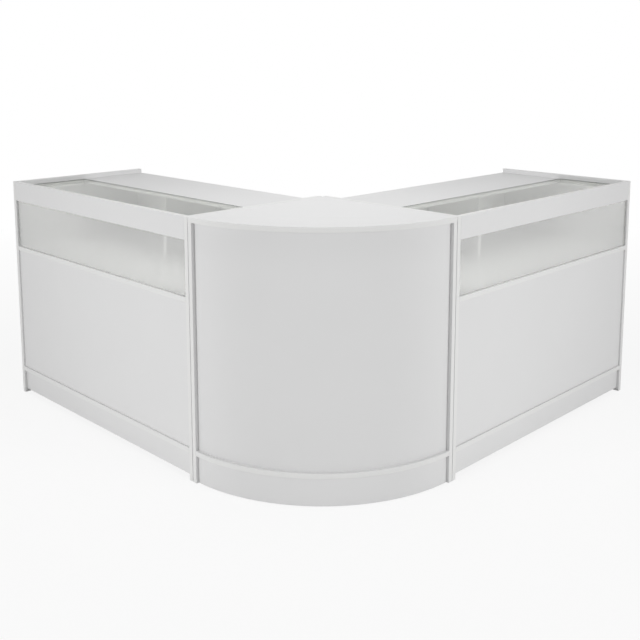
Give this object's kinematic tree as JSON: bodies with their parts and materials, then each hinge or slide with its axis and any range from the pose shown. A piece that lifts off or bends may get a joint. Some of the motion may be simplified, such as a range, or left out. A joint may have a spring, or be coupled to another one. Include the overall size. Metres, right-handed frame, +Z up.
{
  "type": "shop counter",
  "caption": "L-shaped white shop counter: straight half-glass display counters with sliding staff-side doors and open storage, joined by a quarter-round corner unit.",
  "frame": {"origin": "on the floor, under the middle of the box round the whole set", "axes": "+Z up, +X along the right-hand counter away from the corner unit, +Y along the left-hand counter away from it; customers stand on the -X and -Y sides"},
  "size_m": [1.822, 1.822, 0.915],
  "materials": {
    "white_melamine": "satin white melamine on chipboard, edged",
    "bent_melamine": "satin white foil on bent board",
    "batten": "satin white foil",
    "door_panel": "satin white lacquered fibreboard",
    "clear_glass": "clear toughened float glass",
    "white_plastic": "matt white moulding",
    "zinc_plated_steel": "bright zinc"
  },
  "bodies": {
    "counter": {"corner_base_board": "white_melamine", "corner_curved_panel": "bent_melamine", "corner_curved_plinth": "bent_melamine", "corner_left_side_panel": "white_melamine", "corner_rib": "white_melamine", "corner_right_side_panel": "white_melamine", "corner_top": "white_melamine", "floor_glides": "white_plastic", "joining_screws": "zinc_plated_steel", "left_base_board": "white_melamine", "left_display_deck": "white_melamine", "left_door_track_lower": "white_plastic", "left_door_track_upper": "white_plastic", "left_front_glass": "clear_glass", "left_front_panel": "white_melamine", "left_front_plinth": "white_melamine", "left_glass_bearer": "batten", "left_inner_batten": "batten", "left_inner_end_panel": "white_melamine", "left_inner_shelf": "white_melamine", "left_lower_divider": "white_melamine", "left_outer_batten": "batten", "left_outer_end_panel": "white_melamine", "left_outer_shelf": "white_melamine", "left_rail_batten": "batten", "left_rear_plinth": "white_melamine", "left_top_glass": "clear_glass", "left_top_rail": "white_melamine", "left_upper_divider": "white_melamine", "left_worktop": "white_melamine", "right_base_board": "white_melamine", "right_display_deck": "white_melamine", "right_door_track_lower": "white_plastic", "right_door_track_upper": "white_plastic", "right_front_glass": "clear_glass", "right_front_panel": "white_melamine", "right_front_plinth": "white_melamine", "right_glass_bearer": "batten", "right_inner_batten": "batten", "right_inner_end_panel": "white_melamine", "right_inner_shelf": "white_melamine", "right_lower_divider": "white_melamine", "right_outer_batten": "batten", "right_outer_end_panel": "white_melamine", "right_outer_shelf": "white_melamine", "right_rail_batten": "batten", "right_rear_plinth": "white_melamine", "right_top_glass": "clear_glass", "right_top_rail": "white_melamine", "right_upper_divider": "white_melamine", "right_worktop": "white_melamine", "shelf_pins": "zinc_plated_steel"},
    "left_inner_door": {"left_inner_door": "door_panel", "left_inner_door_pull": "white_plastic"},
    "left_outer_door": {"left_outer_door": "door_panel", "left_outer_door_pull": "white_plastic"},
    "right_inner_door": {"right_inner_door": "door_panel", "right_inner_door_pull": "white_plastic"},
    "right_outer_door": {"right_outer_door": "door_panel", "right_outer_door_pull": "white_plastic"}
  },
  "joints": [
    {"name": "left_outer_door_slide", "type": "slide", "parent": "counter", "child": "left_outer_door", "axis": [0, -1, 0], "range_m": [0, 0.56]},
    {"name": "left_inner_door_slide", "type": "slide", "parent": "counter", "child": "left_inner_door", "axis": [0, -1, 0], "range_m": [-0.56, 0]},
    {"name": "right_inner_door_slide", "type": "slide", "parent": "counter", "child": "right_inner_door", "axis": [1, 0, 0], "range_m": [0, 0.56]},
    {"name": "right_outer_door_slide", "type": "slide", "parent": "counter", "child": "right_outer_door", "axis": [1, 0, 0], "range_m": [-0.56, 0]}
  ]
}
